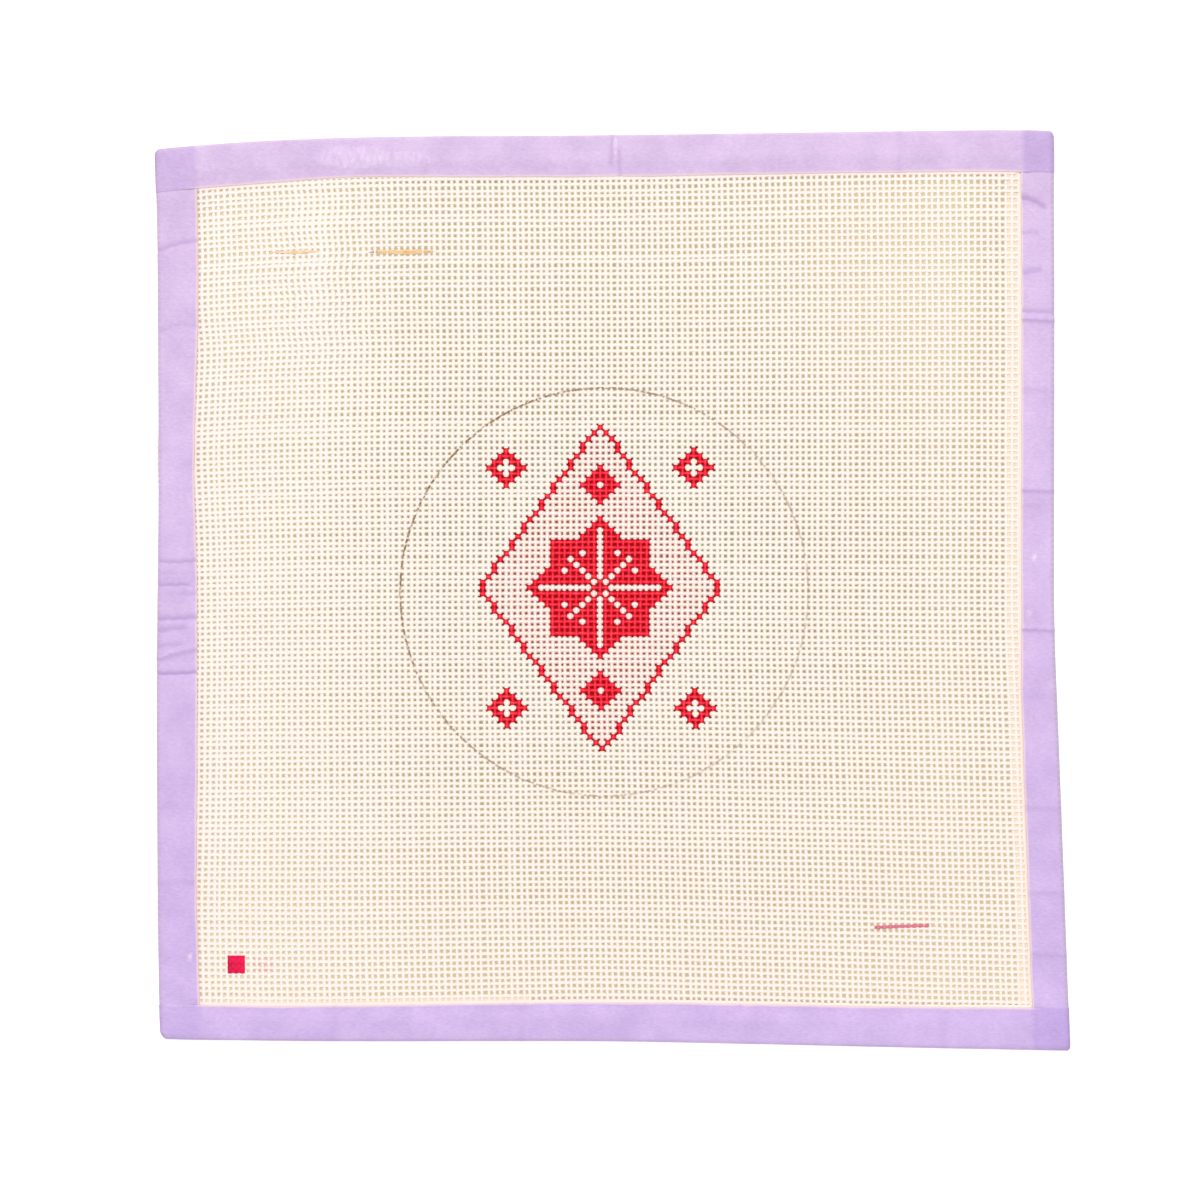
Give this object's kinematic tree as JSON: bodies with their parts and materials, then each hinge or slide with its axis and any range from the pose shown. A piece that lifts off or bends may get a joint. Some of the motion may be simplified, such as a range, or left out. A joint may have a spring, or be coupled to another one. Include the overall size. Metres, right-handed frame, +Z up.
{
  "type": "needlepoint canvas panel",
  "caption": "Square open-mesh needlepoint canvas lying flat, each edge bound with folded lavender tape, a charted medallion inside a drawn circle at its middle.",
  "frame": {"origin": "on the surface the panel lies on, under the centre of its box", "axes": "+Z up, the shortest extent; +Y towards the panel's top edge; +X to the right as the design is seen"},
  "size_m": [0.2172, 0.2185, 0.0038],
  "materials": {
    "canvas_cotton": "white mono cotton canvas, stiffened with size, matt",
    "binding_tape": "lavender crepe binding tape, creased, faint satin sheen"
  },
  "bodies": {
    "root": {"canvas": "canvas_cotton", "tape_left": "binding_tape", "tape_right": "binding_tape", "tape_bottom": "binding_tape", "tape_top": "binding_tape"}
  },
  "joints": []
}
